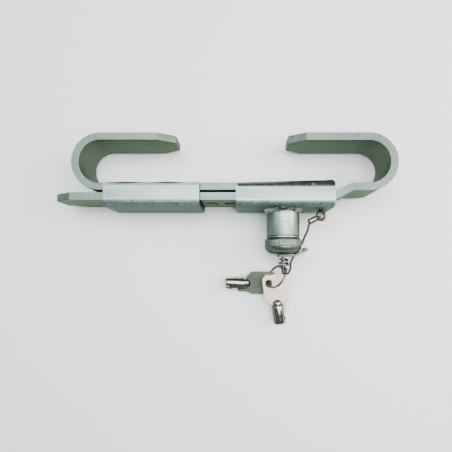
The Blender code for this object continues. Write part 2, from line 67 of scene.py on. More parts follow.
# Camera
CAMERA_SPOT = (0.0166, -0.0313, 0.361)
CAMERA_LENS = 27.48
CAMERA_SHIFT = (-0.0388, 0.0874)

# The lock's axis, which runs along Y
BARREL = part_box("lock_barrel")
AXIS_X = (BARREL[0].x + BARREL[1].x) / 2
AXIS_Z = (BARREL[0].z + BARREL[1].z) / 2

# Bars and guides
BAR_THICKNESS = 0.007
GUIDE_PLATE = 0.004
PLATE_EDGE = 0.0007
TIP_CUT_X = 0.0160
TIP_CUT_Z = 0.0090
FIXED_TIP_X = -0.0470
SLIDING_TIP_X = 0.0588
JOG_START_X = 0.0997
JOG_END_X = 0.1173
JOG_RADIUS = 0.010
HOLE_RADIUS = 0.0057
HOLE_PITCH = 0.0172
HOLE_COUNT = 8
FIXED_FACE_Y = 0.0451

# Key ring and keys
RING_CENTRE = Vector((0.0493, -0.0421, 0.0176))
RING_RADIUS = 0.012
RING_ALONG = Vector((-0.64, -0.71, -0.30)).normalized()
RING_TILT = math.radians(57.0)
RING_STEP = math.radians(60.0)
KEY_HOLE_AT = (0.0085, -0.0062)
KEY_LENGTH = 0.051
KEY_TUBE = 0.00575
KEY_PLATE = 0.0024
KEY_NOSE = 0.0044
KEY_NOSE_START = 0.0302
KEY_CUTS = (0.0022, 0.0034, 0.0016, 0.0028, 0.0040, 0.0020, 0.0031)

# Tint of the steel's rims
EDGE_TINT = (0.50, 0.58, 0.50, 1.0)

# Eye and tether
EYE_CENTRE = Vector((0.0923, 0.0170, AXIS_Z))
EYE_RADIUS = 0.0036
EYE_WIRE = 0.0016
EYE_LOOP = 0.0031
TETHER_RADIUS = 0.00115
TETHER_STRANDS = 6
TETHER_LAY = 0.014
CRIMP_LENGTH = 0.0060
CRIMP_GAP = 0.0027
STRAND_SPREAD = 0.0014


# --- Camera, light and floor ---


def put(name, data):
    """Adds an object with this data to the scene."""
    thing = bpy.data.objects.new(name, data)
    bpy.context.scene.collection.objects.link(thing)
    return thing


def make_camera():
    data = bpy.data.cameras.new("camera")
    data.lens = CAMERA_LENS
    data.sensor_width = 36.0
    data.shift_x, data.shift_y = CAMERA_SHIFT
    data.clip_start = 0.01
    camera = put("camera", data)
    camera.location = CAMERA_SPOT
    bpy.context.scene.camera = camera


def area_light(name, spot, aim, size, power, colour):
    data = bpy.data.lights.new(name, "AREA")
    data.shape = "RECTANGLE"
    data.size, data.size_y = size
    data.energy = power
    data.color = colour
    light = put(name, data)
    light.location = spot
    light.rotation_euler = (Vector(aim) - Vector(spot)).to_track_quat("-Z", "Y").to_euler()


def make_lights():
    """A wide soft light overhead, a warm one at the right, a faint one at the left, and a dim sky."""
    area_light("overhead", (0.10, 0.12, 1.00), (0.05, 0.04, 0), (1.40, 0.70), 26.0, (0.92, 0.985, 1.0))
    area_light("right_box", (0.95, 0.15, 0.60), (0.0, 0.0, 0.03), (0.5, 0.6), 12.0, (1.0, 0.92, 0.80))
    area_light("left_box", (-0.95, 0.10, 0.70), (0.0, 0.0, 0.03), (0.4, 0.5), 2.0, (0.90, 1.0, 0.98))
    world = bpy.data.worlds.new("studio")
    world.use_nodes = True
    background = world.node_tree.nodes["Background"]
    background.inputs["Color"].default_value = (0.84, 1.0, 0.90, 1.0)
    background.inputs["Strength"].default_value = 0.26
    bpy.context.scene.world = world


def make_floor():
    mesh = bpy.data.meshes.new("floor")
    shape = bmesh.new()
    bmesh.ops.create_grid(shape, x_segments=1, y_segments=1, size=4.0)
    shape.to_mesh(mesh)
    shape.free()
    floor = put("floor", mesh)
    paper = bpy.data.materials.new("paper")
    paper.use_nodes = True
    shader = paper.node_tree.nodes["Principled BSDF"]
    shader.inputs["Base Color"].default_value = (0.92, 0.92, 0.92, 1.0)
    shader.inputs["Roughness"].default_value = 0.9
    mesh.materials.append(paper)


# --- Materials ---


class Shader:
    """A small builder of node materials. Each method adds a node and returns its output socket."""

    def __init__(self, name):
        self.material = bpy.data.materials.new(name)
        self.material.use_nodes = True
        self.tree = self.material.node_tree
        self.principled = self.tree.nodes["Principled BSDF"]
        coordinates = self.tree.nodes.new("ShaderNodeTexCoord")
        self.place = coordinates.outputs["Object"]

    def link(self, source, target):
        self.tree.links.new(source, target)

    def stretched(self, scale):
        node = self.tree.nodes.new("ShaderNodeMapping")
        node.inputs["Scale"].default_value = scale
        self.link(self.place, node.inputs["Vector"])
        return node.outputs["Vector"]

    def noise(self, scale, detail=4.0, roughness=0.55, distortion=0.0, vector=None):
        node = self.tree.nodes.new("ShaderNodeTexNoise")
        node.inputs["Scale"].default_value = scale
        node.inputs["Detail"].default_value = detail
        node.inputs["Roughness"].default_value = roughness
        node.inputs["Distortion"].default_value = distortion
        self.link(vector or self.place, node.inputs["Vector"])
        return node.outputs["Fac"]

    def cells(self, scale):
        node = self.tree.nodes.new("ShaderNodeTexVoronoi")
        node.inputs["Scale"].default_value = scale
        self.link(self.place, node.inputs["Vector"])
        return node.outputs["Distance"]

    def span(self, value, low, high, to_low=0.0, to_high=1.0):
        node = self.tree.nodes.new("ShaderNodeMapRange")
        node.inputs["From Min"].default_value = low
        node.inputs["From Max"].default_value = high
        node.inputs["To Min"].default_value = to_low
        node.inputs["To Max"].default_value = to_high
        self.link(value, node.inputs["Value"])
        return node.outputs["Result"]

    def maths(self, operation, a, b):
        node = self.tree.nodes.new("ShaderNodeMath")
        node.operation = operation
        for socket, value in zip(node.inputs, (a, b)):
            if isinstance(value, (int, float)):
                socket.default_value = value
            else:
                self.link(value, socket)
        return node.outputs["Value"]

    def mix(self, factor, first, second):
        node = self.tree.nodes.new("ShaderNodeMix")
        node.data_type = "RGBA"
        self.link(factor, node.inputs["Factor"])
        for socket, value in ((node.inputs["A"], first), (node.inputs["B"], second)):
            if isinstance(value, tuple):
                socket.default_value = (*value, 1.0)
            else:
                self.link(value, socket)
        return node.outputs["Result"]

    def over(self, base, mask, amount, colour):
        """Lays a colour over the base where the mask is 1, by an amount from 0 to 1."""
        return self.mix(self.maths("MULTIPLY", mask, amount), base, colour)

    def edges(self):
        """Brighter on convex edges, darker in corners, from 0 to 1."""
        node = self.tree.nodes.new("ShaderNodeNewGeometry")
        return node.outputs["Pointiness"]

    def facing_up(self, low, high, lean=0.0):
        """1 on surfaces that face up, 0 on upright ones; it masks painted shade. lean turns the pale,
        painted-lit side towards +Y.
        """
        geometry = self.tree.nodes.new("ShaderNodeNewGeometry")
        split = self.tree.nodes.new("ShaderNodeSeparateXYZ")
        self.link(geometry.outputs["Normal"], split.inputs["Vector"])
        sideways = self.maths("MULTIPLY", split.outputs["Y"], lean)
        return self.span(self.maths("ADD", split.outputs["Z"], sideways), low, high)

    def bump(self, height, distance, strength, before=None):
        node = self.tree.nodes.new("ShaderNodeBump")
        node.inputs["Distance"].default_value = distance
        node.inputs["Strength"].default_value = strength
        self.link(height, node.inputs["Height"])
        if before:
            self.link(before, node.inputs["Normal"])
        return node.outputs["Normal"]

    def dim_rims(self):
        """Keeps the metal from turning white where it is seen at a shallow angle."""
        self.principled.inputs["Specular Tint"].default_value = EDGE_TINT

    def finish(self, colour, roughness, normal, metallic):
        self.link(colour, self.principled.inputs["Base Color"])
        self.link(roughness, self.principled.inputs["Roughness"])
        self.link(normal, self.principled.inputs["Normal"])
        self.principled.inputs["Metallic"].default_value = metallic
        return self.material


def scaled(colour, factor):
    """A colour made brighter or darker, and never above 1."""
    return tuple(min(1.0, factor * c) for c in colour)


def zinc_plate(name, light, dark, shade, fold=(0.05, 0.85), grain=0.00008):
    """Satin zinc plate: mottled, with crystal specks and drawn scratches along X.

    Upright faces are darkened by painted shade, their colours times shade, and fold gives the slopes between
    which the painted shade sets in.
    """
    s = Shader(name)
    cloud = s.noise(50.0, 6.0, 0.62, 0.5)
    speck = s.span(s.noise(560.0, 2.0, 0.6), 0.38, 0.62)
    streak = s.noise(170.0, 3.0, 0.6, 0.0, s.stretched((0.12, 2.5, 2.5)))
    tone = s.maths("ADD", s.maths("MULTIPLY", cloud, 0.35), s.maths("MULTIPLY", streak, 0.25))
    tone = s.maths("ADD", tone, s.maths("MULTIPLY", speck, 0.40))
    base = s.mix(s.span(tone, 0.32, 0.68), dark, light)
    flakes = s.span(s.cells(520.0), 0.12, 0.03)
    base = s.over(base, flakes, 0.6, scaled(light, 1.8))
    relief_marks = s.span(s.edges(), 0.515, 0.58)
    base = s.over(base, relief_marks, 0.5, scaled(light, 1.5))
    blot = s.span(s.noise(14.0, 3.0, 0.5, 1.2), 0.58, 0.72)
    base = s.over(base, blot, 0.30, scaled(dark, 0.7))
    # painted shade: darker copies of the colours for faces that do not face up
    shaded_dark = tuple(c * k for c, k in zip(dark, shade))
    shaded_light = tuple(c * k for c, k in zip(light, shade))
    painted_shade = s.mix(s.span(tone, 0.15, 0.85), shaded_dark, shaded_light)
    # faces that face up keep the base colour, upright faces take the painted shade
    base = s.mix(s.facing_up(*fold), painted_shade, base)
    roughness = s.span(s.maths("ADD", cloud, speck), 0.6, 1.4, 0.40, 0.58)
    normal = s.bump(s.noise(560.0, 3.0, 0.6), grain, 0.8)
    normal = s.bump(s.noise(130.0, 3.0, 0.5), 3 * grain, 0.5, normal)
    s.dim_rims()
    return s.finish(base, roughness, normal, 0.92)


def weld_metal(name, light, dark, grain, sparkle=0.0):
    """Weld metal: mottled, with bright flakes and dark pits where it sparkles."""
    s = Shader(name)
    mottle = s.noise(260.0, 5.0, 0.65, 0.6)
    base = s.mix(s.span(mottle, 0.35, 0.65), dark, light)
    relief_marks = s.span(s.edges(), 0.50, 0.60)
    base = s.over(base, relief_marks, 0.6, scaled(light, 1.35))
    if sparkle:
        flakes = s.span(s.noise(620.0, 2.0, 0.6), 0.56, 0.64)
        base = s.over(base, flakes, sparkle, scaled(light, 3.0))
        pits = s.span(s.noise(330.0, 3.0, 0.6, 1.0), 0.44, 0.36)
        base = s.over(base, pits, 0.9, scaled(dark, 0.25))
    roughness = s.span(mottle, 0.3, 0.7, 0.22, 0.5)
    normal = s.bump(s.noise(700.0, 4.0, 0.6), grain, 0.6)
    return s.finish(base, roughness, normal, 0.95)


def turned_steel(name, light, dark, rough, flank_shade, tint=None, relief_marks=0.0):
    """Turned steel: fine rings about the lock's axis, a mottled plate and flanks darkened by painted shade.
    """
    s = Shader(name)
    rings = s.noise(420.0, 3.0, 0.6, 0.0, s.stretched((0.15, 3.0, 0.15)))
    cloud = s.noise(90.0, 5.0, 0.62, 0.5)
    base = s.mix(s.span(s.maths("ADD", rings, cloud), 0.78, 1.22), dark, light)
    if tint:
        stain = s.noise(60.0, 3.0, 0.6, 1.5, s.stretched((2.0, 0.5, 2.0)))
        base = s.over(base, s.span(stain, 0.46, 0.60), 0.8, tint)
    # painted shade: faces that do not face up take the darker flank colour
    base = s.mix(s.facing_up(0.55, 0.92), flank_shade, base)
    if relief_marks:
        pits = s.span(s.noise(430.0, 3.0, 0.7, 0.0, s.stretched((1.0, 0.55, 1.0))), 0.50, 0.60)
        base = s.over(base, pits, 0.6 * relief_marks, scaled(dark, 0.45))
        # painted shade in concave hollows, such as the knurl's valleys
        base = s.over(base, s.span(s.edges(), 0.49, 0.42), relief_marks, scaled(dark, 0.35))
        # convex ridges brightened: rubbed wear and a painted highlight
        base = s.over(base, s.span(s.edges(), 0.53, 0.62), relief_marks, scaled(light, 1.5))
    roughness = s.span(cloud, 0.3, 0.7, *rough)
    normal = s.bump(rings, 0.00003, 0.5)
    normal = s.bump(s.noise(520.0, 3.0), 0.00007, 0.5, normal)
    s.dim_rims()
    return s.finish(base, roughness, normal, 0.95)


def plain_metal(name, light, dark, rough, scale=300.0, grain=0.00002, metallic=1.0, flank_shade=None):
    """Smooth metal with a faint cloud in its tone and roughness, and painted shade on its flanks where a
    flank colour is given.
    """
    s = Shader(name)
    cloud = s.noise(scale, 4.0, 0.6, 0.3)
    base = s.mix(s.span(cloud, 0.35, 0.65), dark, light)
    relief_marks = s.span(s.edges(), 0.52, 0.60)
    base = s.over(base, relief_marks, 0.4, scaled(light, 1.2))
    if flank_shade:
        # painted shade on upright faces, paler towards +Y as if lit from that side
        base = s.mix(s.facing_up(0.35, 0.85, 0.35), flank_shade, base)
        s.dim_rims()
    roughness = s.span(s.noise(scale * 2.3, 3.0), 0.3, 0.7, *rough)
    normal = s.bump(s.noise(scale * 4.0, 3.0), grain, 0.5)
    return s.finish(base, roughness, normal, metallic)


def rubber_black(name):
    s = Shader(name)
    base = s.mix(s.span(s.noise(600.0), 0.3, 0.7), (0.012, 0.012, 0.012), (0.03, 0.03, 0.03))
    roughness = s.span(s.noise(900.0), 0.3, 0.7, 0.5, 0.75)
    return s.finish(base, roughness, s.bump(s.noise(1500.0), 0.00003, 0.5), 0.0)


# The flank colours and the shade factors below are painted shade for upright faces.
MATERIALS = {
    "zinc_steel": zinc_plate("zinc_steel", (0.20, 0.243, 0.228), (0.105, 0.137, 0.12), (0.70, 0.68, 0.56)),
    "guide_steel": zinc_plate(
        "guide_steel", (0.34, 0.39, 0.40), (0.135, 0.175, 0.165), (0.39, 0.44, 0.37), (0.42, 0.99), 0.00003
    ),
    "weld_steel": weld_metal("weld_steel", (0.22, 0.26, 0.23), (0.08, 0.10, 0.085), 0.00012, 0.8),
    # the beads' weld metal, darkened as painted shade for slopes that face away from the light
    "shaded_bead_steel": weld_metal("shaded_bead_steel", (0.115, 0.13, 0.108), (0.085, 0.10, 0.083), 0.00002),
    "barrel_steel": turned_steel(
        "barrel_steel", (0.38, 0.44, 0.43), (0.22, 0.28, 0.26), (0.34, 0.46),
        flank_shade=(0.085, 0.135, 0.115), tint=(0.38, 0.36, 0.27),
    ),
    "cap_steel": turned_steel(
        "cap_steel", (0.31, 0.345, 0.305), (0.135, 0.16, 0.13), (0.28, 0.42),
        flank_shade=(0.075, 0.095, 0.075), relief_marks=1.0,
    ),
    "tab_steel": plain_metal(
        "tab_steel", (0.105, 0.135, 0.112), (0.06, 0.08, 0.065), (0.42, 0.58), 260.0, 0.00004
    ),
    "eye_steel": plain_metal(
        "eye_steel", (0.10, 0.10, 0.085), (0.035, 0.035, 0.028), (0.22, 0.36), 420.0, 0.00006,
        flank_shade=(0.03, 0.03, 0.024),
    ),
    "hardened_steel": plain_metal("hardened_steel", (0.46, 0.47, 0.48), (0.34, 0.35, 0.36), (0.18, 0.32)),
    "spring_steel": plain_metal(
        "spring_steel", (0.27, 0.28, 0.27), (0.15, 0.16, 0.15), (0.20, 0.34), flank_shade=(0.05, 0.055, 0.05)
    ),
    "brass": plain_metal("brass", (0.70, 0.53, 0.26), (0.55, 0.40, 0.18), (0.2, 0.35)),
    "rubber": rubber_black("rubber"),
    "key_dark": plain_metal(
        "key_dark", (0.165, 0.175, 0.145), (0.115, 0.125, 0.10), (0.45, 0.60), 110.0, 0.00003, 0.6
    ),
    "key_nickel": plain_metal(
        "key_nickel", (0.90, 0.69, 0.60), (0.78, 0.59, 0.51), (0.38, 0.52), 80.0, 0.00003, 0.55
    ),
    "key_chrome": plain_metal(
        "key_chrome", (0.38, 0.36, 0.315), (0.24, 0.225, 0.19), (0.12, 0.24), 150.0,
        flank_shade=(0.05, 0.045, 0.035),
    ),
    "tether_wire": plain_metal(
        "tether_wire", (0.082, 0.089, 0.086), (0.045, 0.050, 0.048), (0.50, 0.65), 900.0,
        metallic=0.4, flank_shade=(0.06, 0.066, 0.063),
    ),
    "crimp_alloy": plain_metal(
        "crimp_alloy", (0.34, 0.39, 0.36), (0.20, 0.24, 0.22), (0.22, 0.40), 350.0, flank_shade=(0.04, 0.045, 0.04)
    ),
}


def paint_cad_nodes():
    """Gives every node of the frame the material of its slot."""
    for row in frame["record"]["subparts"]:
        node = NODES[row["node"]]
        node.data.materials.clear()
        node.data.materials.append(MATERIALS[row["material_slot"]])
        node.data.shade_smooth()
        node.data.set_sharp_from_angle(angle=math.radians(30))


# --- Mesh helpers ---


def add_piece(mesh, slot, body, node, sharp=None, look=None):
    """Adds a mesh, under its own name, as a piece of a body that stands for a node.

    sharp is the angle in degrees past which an edge stays sharp. look replaces the slot's material.
    """
    piece = put(mesh.name, mesh)
    mesh.materials.clear()
    mesh.materials.append(MATERIALS[look or slot])
    if sharp:
        mesh.shade_smooth()
        mesh.set_sharp_from_angle(angle=math.radians(sharp))
    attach(piece, body)
    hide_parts(node)
    return piece


def mesh_from(shape, name):
    mesh = bpy.data.meshes.new(name)
    bmesh.ops.recalc_face_normals(shape, faces=shape.faces)
    shape.to_mesh(mesh)
    shape.free()
    mesh.shade_smooth()
    return mesh


def loft(rows, name, close_rows=False):
    """Skins rings of points, all with the same count, into one closed mesh. Open ends get a flat cap."""
    shape = bmesh.new()
    made = [[shape.verts.new(p) for p in row] for row in rows]
    pairs = list(zip(made, made[1:]))
    if close_rows:
        pairs.append((made[-1], made[0]))
    for low, high in pairs:
        count = len(low)
        for k in range(count):
            shape.faces.new((low[k], low[(k + 1) % count], high[(k + 1) % count], high[k]))
    if not close_rows:
        shape.faces.new(made[0][::-1])
        shape.faces.new(made[-1])
    return mesh_from(shape, name)


def revolve(profile, name, steps, centre=None, shift=None):
    """Turns closed (radius, y) points about the lock's axis. shift(angle, radius, y) moves a point."""
    cx, cz = centre or (AXIS_X, AXIS_Z)
    rows = []
    for k in range(steps):
        angle = math.tau * k / steps
        row = []
        for radius, y in profile:
            if shift:
                radius, y = shift(angle, radius, y)
            row.append((cx + radius * math.cos(angle), y, cz + radius * math.sin(angle)))
        rows.append(row)
    return loft(rows, name, True)


def rounded(points, radius, steps=4):
    """Rounds the corners of a closed outline. radius is one number, or one for each corner."""
    count = len(points)
    radii = radius if isinstance(radius, (list, tuple)) else [radius] * count
    out = []
    for i, corner in enumerate(points):
        here = Vector(corner)
        before = Vector(points[i - 1]) - here
        after = Vector(points[(i + 1) % count]) - here
        angle = before.angle(after)
        if radii[i] <= 0 or angle > math.pi - 0.02:
            out.append(tuple(here))
            continue
        reach = radii[i] / math.tan(angle / 2)
        reach = min(reach, 0.49 * before.length, 0.49 * after.length)
        start = here + before.normalized() * reach
        end = here + after.normalized() * reach
        for k in range(steps + 1):
            t = k / steps
            out.append(tuple((1 - t) ** 2 * start + 2 * t * (1 - t) * here + t * t * end))
    return out


def bent_line(corners, steps):
    """Follows corners of (x, y, bend radius) and returns (point, direction) pairs with round bends."""
    line = []
    points = [Vector(c[:2]) for c in corners]
    for i, corner in enumerate(points):
        if i == 0 or i == len(points) - 1:
            other = points[1] if i == 0 else points[-2]
            heading = (other - corner).normalized() * (1 if i == 0 else -1)
            line.append((corner, heading))
            continue
        before = (corner - points[i - 1]).normalized()
        after = (points[i + 1] - corner).normalized()
        turn = before.angle_signed(after)
        radius = corners[i][2]
        start = corner - before * radius * math.tan(abs(turn) / 2)
        side = math.copysign(1.0, -turn)
        centre = start + side * radius * Vector((-before.y, before.x))
        for k in range(steps + 1):
            spin = Matrix.Rotation(-turn * k / steps, 2)
            point = centre + spin @ (start - centre)
            if (point - line[-1][0]).length > 0.00001:
                line.append((point, spin @ before))
    return line


def strip(corners, thickness, steps=20):
    """The closed outline of a strip of even thickness along a bent line."""
    line = bent_line(corners, steps)
    half = thickness / 2
    left = [p + half * Vector((-d.y, d.x)) for p, d in line]
    right = [p - half * Vector((-d.y, d.x)) for p, d in line]
    return [tuple(p) for p in left + right[::-1]]


def prism(outline, low, high, name, axes="XYZ"):
    """A flat outline carried from low to high. axes says where its two directions and its depth go."""
    order = [axes.index(a) for a in "XYZ"]
    rows = [[[(*point, depth)[i] for i in order] for point in outline] for depth in (low, high)]
    return loft(rows, name)


def worked(mesh, name, cutters, joins, edge, segments=3):
    """Cuts, joins and then rounds the edges of a mesh, and returns the result as a new mesh."""
    base = put(name + "_work", mesh)
    helpers = []
    for operation, meshes in (("DIFFERENCE", cutters), ("UNION", joins)):
        for other in meshes:
            helpers.append(put("helper", other))
            boolean = base.modifiers.new("shape", "BOOLEAN")
            boolean.operation = operation
            boolean.object = helpers[-1]
            boolean.solver = "EXACT"
    if edge:
        bevel = base.modifiers.new("edges", "BEVEL")
        bevel.width = edge
        bevel.segments = segments
        bevel.limit_method = "ANGLE"
        bevel.angle_limit = math.radians(20.0)
        normals = base.modifiers.new("normals", "WEIGHTED_NORMAL")
        normals.keep_sharp = True
    bpy.context.view_layer.update()
    graph = bpy.context.evaluated_depsgraph_get()
    made = bpy.data.meshes.new_from_object(base.evaluated_get(graph))
    made.name = name
    for extra in [base] + helpers:
        bpy.data.objects.remove(extra, do_unlink=True)
    return made


def drum(radius, low, high, spot, axis="Y", sides=64):
    """A cylinder mesh along one axis, used as a cutter or a join."""
    turns = (math.tau * k / sides for k in range(sides))
    outline = [(spot[0] + radius * math.cos(a), spot[1] + radius * math.sin(a)) for a in turns]
    return prism(outline, low, high, "drum", {"X": "YZX", "Y": "XZY", "Z": "XYZ"}[axis])


def frames(points):
    """A point, a direction and two steady side directions at each point of a line."""
    points = [Vector(p) for p in points]
    count = len(points)
    headings = []
    for i in range(count):
        before = points[i - 1] if i else points[i]
        after = points[i + 1] if i < count - 1 else points[i]
        headings.append((after - before).normalized())
    side = headings[0].orthogonal().normalized()
    out = []
    for i, heading in enumerate(headings):
        if i:
            turn = headings[i - 1].rotation_difference(heading)
            side = (turn @ side).normalized()
        side = (side - heading * side.dot(heading)).normalized()
        out.append((points[i], heading, side, heading.cross(side)))
    return out


def circle(centre, radius, first, second, sides):
    """Points round a circle that runs from the first direction towards the second."""
    turns = (math.tau * k / sides for k in range(sides))
    return [centre + radius * (math.cos(t) * first + math.sin(t) * second) for t in turns]


def smooth(points, spacing):
    """A Catmull-Rom curve through the points, read at an even spacing."""
    points = [Vector(p) for p in points]
    padded = [2 * points[0] - points[1]] + points + [2 * points[-1] - points[-2]]
    fine = []
    for a, b, c, d in zip(padded, padded[1:], padded[2:], padded[3:]):
        for k in range(20):
            t = k / 20
            squares = (2 * a - 5 * b + 4 * c - d) * t * t
            cubes = (3 * b - a - 3 * c + d) * t**3
            fine.append(0.5 * (2 * b + (c - a) * t + squares + cubes))
    fine.append(points[-1])
    total = sum((q - p).length for p, q in zip(fine, fine[1:]))
    count = max(2, round(total / spacing))
    step = total / count
    even = [fine[0]]
    gone = 0.0
    for p, q in zip(fine, fine[1:]):
        length = (q - p).length
        while len(even) < count and gone + length >= step * len(even):
            even.append(p.lerp(q, (step * len(even) - gone) / length))
        gone += length
    even.append(fine[-1])
    return even


# --- Bars and guides ---


def tip_wedges(tip_x, sign, middle_y, low_z, high_z):
    """Two cutters for the corners of a bar's end at tip_x. The bar runs away from it along sign."""
    wedges = []
    margin = 0.001
    for edge_z, up in ((low_z, 1), (high_z, -1)):
        outline = [
            (tip_x - sign * margin, edge_z - up * margin),
            (tip_x + sign * TIP_CUT_X, edge_z - up * margin),
            (tip_x + sign * TIP_CUT_X, edge_z),
            (tip_x, edge_z + up * TIP_CUT_Z),
            (tip_x - sign * margin, edge_z + up * TIP_CUT_Z),
        ]
        reach = 1.5 * BAR_THICKNESS
        wedges.append(prism(outline, middle_y - reach, middle_y + reach, "wedge", "XZY"))
    return wedges


def make_fixed_hook():
    """The bar, bend and arm of the left hook, with the hole that the bolt enters."""
    low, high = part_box("fixed_hook_bar")
    half = BAR_THICKNESS / 2
    bar_y, arm_y = low.y + half, high.y - half
    bend = (arm_y - bar_y) / 2
    corners = [
        (high.x, bar_y, 0),
        (low.x + half, bar_y, bend),
        (low.x + half, arm_y, bend),
        (FIXED_TIP_X, arm_y, 0),
    ]
    blank = prism(strip(corners, BAR_THICKNESS), low.z, high.z, "fixed_blank")
    cutters = tip_wedges(FIXED_TIP_X, -1, arm_y, low.z, high.z)
    cutters.append(drum(HOLE_RADIUS, bar_y - 0.01, bar_y + 0.01, (AXIS_X, AXIS_Z)))
    mesh = worked(blank, "fixed_hook_visual", cutters, (), PLATE_EDGE)
    add_piece(mesh, "zinc_steel", "fixed_hook", "fixed_hook_bar")


def make_sliding_hook():
    """The bar with its row of holes, and the jog, bend and arm of the right hook."""
    low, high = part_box("sliding_hook_bar")
    half = BAR_THICKNESS / 2
    bar_y, arm_y = low.y + half, high.y - half
    bend = (arm_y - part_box("fixed_hook_bar")[0].y - half) / 2
    upper_y = arm_y - 2 * bend
    corners = [
        (low.x, bar_y, 0),
        (JOG_START_X, bar_y, JOG_RADIUS),
        (JOG_END_X, upper_y, JOG_RADIUS),
        (high.x - half, upper_y, bend),
        (high.x - half, arm_y, bend),
        (SLIDING_TIP_X, arm_y, 0),
    ]
    blank = prism(strip(corners, BAR_THICKNESS), low.z, high.z, "sliding_blank")
    cutters = tip_wedges(SLIDING_TIP_X, 1, arm_y, low.z, high.z)
    cutters += tip_wedges(low.x, 1, bar_y, low.z, high.z)
    for k in range(HOLE_COUNT):
        spot = (AXIS_X - k * HOLE_PITCH, AXIS_Z)
        cutters.append(drum(HOLE_RADIUS, bar_y - 0.01, bar_y + 0.01, spot))
    mesh = worked(blank, "sliding_hook_visual", cutters, (), PLATE_EDGE)
    add_piece(mesh, "zinc_steel", "sliding_hook", "sliding_hook_bar")


def make_guide(node):
    """A folded guide. Its legs are slightly crowned and lean in towards their free edges."""
    low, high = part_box(node)
    half = GUIDE_PLATE / 2
    crown, fall = 0.0009, 0.0005
    middle = (low.y + high.y) / 2 + 0.001
    corners = [
        (high.y, low.z + half + crown, 0),
        (middle, low.z + half, 0.060),
        (low.y + half, low.z + half + fall, 0.0055),
        (low.y + half, high.z - half - fall, 0.0055),
        (middle, high.z - half, 0.060),
        (high.y, high.z - half - crown, 0),
    ]
    trim = 0.0013 if node == "left_guide" else 0.0
    blank = prism(strip(corners, GUIDE_PLATE, 14), low.x, high.x - trim, node + "_blank", "YZX")
    cutters = []
    if node == "right_guide":
        cutters.append(drum(HOLE_RADIUS, low.y - 0.005, low.y + 0.009, (AXIS_X, AXIS_Z)))
    mesh = worked(blank, node + "_visual", cutters, (), PLATE_EDGE)
    add_piece(mesh, "zinc_steel", "fixed_hook", node, look="guide_steel")


# --- Welds ---


def make_bead(node, bulge, seed, lumps=()):
    """A smooth bead that slopes from a guide's edge over the fixed bar's edge, with faint ripples.

    bulge gives how far it stands out along its length, and lumps holds the X of each thick spot.
    """
    low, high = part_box(node)
    runout = 0.0055 if low.x > 0 else 0.0
    low_x, high_x = low.x, high.x + runout
    upper = high.z > AXIS_Z
    reach = 0.0014
    top, bottom = high.z + 0.0006, low.z - 0.0002
    if not upper:
        top, bottom = low.z - 0.0006, high.z + 0.0002
    steps = round((high_x - low_x) / 0.0005)
    across = 14
    rows = []
    for i in range(steps + 1):
        at = i / steps
        x = low_x + (high_x - low_x) * at
        ends = min(1.0, (1.02 - abs(2 * at - 1)) * 18) ** 0.5
        wobble = noise.noise(Vector((x * 130, seed, 0.0)))
        outer = FIXED_FACE_Y + bulge(at) + 0.00010 * wobble
        inner = low.y - reach
        height = (top - bottom) * (1 + 0.02 * wobble) * (0.45 + 0.55 * ends)
        row = []
        for k in range(across + 1):
            t = k / across
            ripple = 0.00003 * math.sin(math.tau * (x / 0.0019 + 0.5 * t * t))
            grain = 0.00004 * noise.noise(Vector((x * 520, t * 4 + seed, 3.0)))
            lift = (ripple + grain) * math.sin(math.pi * min(1.0, 1.15 * t + 0.05))
            side = math.exp(-(((t - 0.62) / 0.22) ** 2))
            lift += sum(0.0007 * side * math.exp(-(((x - spot) / 0.0022) ** 2)) for spot in lumps)
            y = inner + (outer - inner) * (0.35 + 0.65 * ends) * t
            z = bottom + height * (1 - t**2.0) + (lift if upper else -lift)
            row.append((x, y, z))
        floor_z = bottom - (0.0006 if upper else -0.0006)
        row.append((x, row[-1][1] - 0.0008, floor_z))
        row.append((x, inner + 0.0004, floor_z))
        rows.append(row)
    mesh = loft(rows, node + "_visual")
    # The beads take the weld metal darkened as painted shade.
    add_piece(mesh, "weld_steel", "fixed_hook", node, 50, "shaded_bead_steel")


def left_bulge(at):
    """How far the left guide's beads stand past the fixed bar, from 0 to 1 along them."""
    return 0.0006 * math.sin(math.tau * (1.1 * at + 0.02)) ** 2 + 0.0001


def right_bulge(at):
    """The same for the right guide, whose beads grow towards its end."""
    return 0.0025 * at


def make_beads():
    make_bead("left_weld_upper", left_bulge, 1.0)
    make_bead("left_weld_lower", left_bulge, 7.0)
    make_bead("right_weld_upper", right_bulge, 13.0, (0.0805,))
    make_bead("right_weld_lower", right_bulge, 21.0)


def make_barrel_weld():
    """A lumpy, scalloped fillet round the barrel's foot."""
    low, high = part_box("barrel_weld")
    radius = BARREL[1].x - AXIS_X
    outer = high.x - AXIS_X
    profile = []
    for k in range(13):
        a = math.pi / 2 * k / 12
        r = radius - 0.0001 + (outer - radius) * (1 - math.cos(a))
        y = low.y + (high.y - low.y + 0.0006) * math.sin(a)
        profile.append((r, y))
    profile.append((outer - 0.0002, high.y + 0.0008))
    profile.append((radius - 0.0006, high.y + 0.0008))
    profile.append((radius - 0.0006, low.y + 0.0002))

    def lumps(angle, r, y):
        if r < radius - 0.0003 or y > high.y + 0.0004:
            return r, y
        spot = Vector((4.2 * math.cos(angle), 4.2 * math.sin(angle), 260 * y))
        lump = noise.noise(spot) * 0.0007 + noise.noise(spot * 3.1) * 0.0004
        scallop = 0.0003 * abs(math.sin(19 * angle + 2 * noise.noise(spot * 0.7)))
        grow = (y - low.y) / (high.y - low.y)
        return r + (lump + scallop) * (0.3 + 0.7 * grow), y - abs(lump) * 0.9 * (1 - grow) - scallop * 0.5

    mesh = revolve(profile, "barrel_weld_visual", 200, shift=lumps)
    add_piece(mesh, "weld_steel", "fixed_hook", "barrel_weld", 60)


# --- Barrel and cap ---


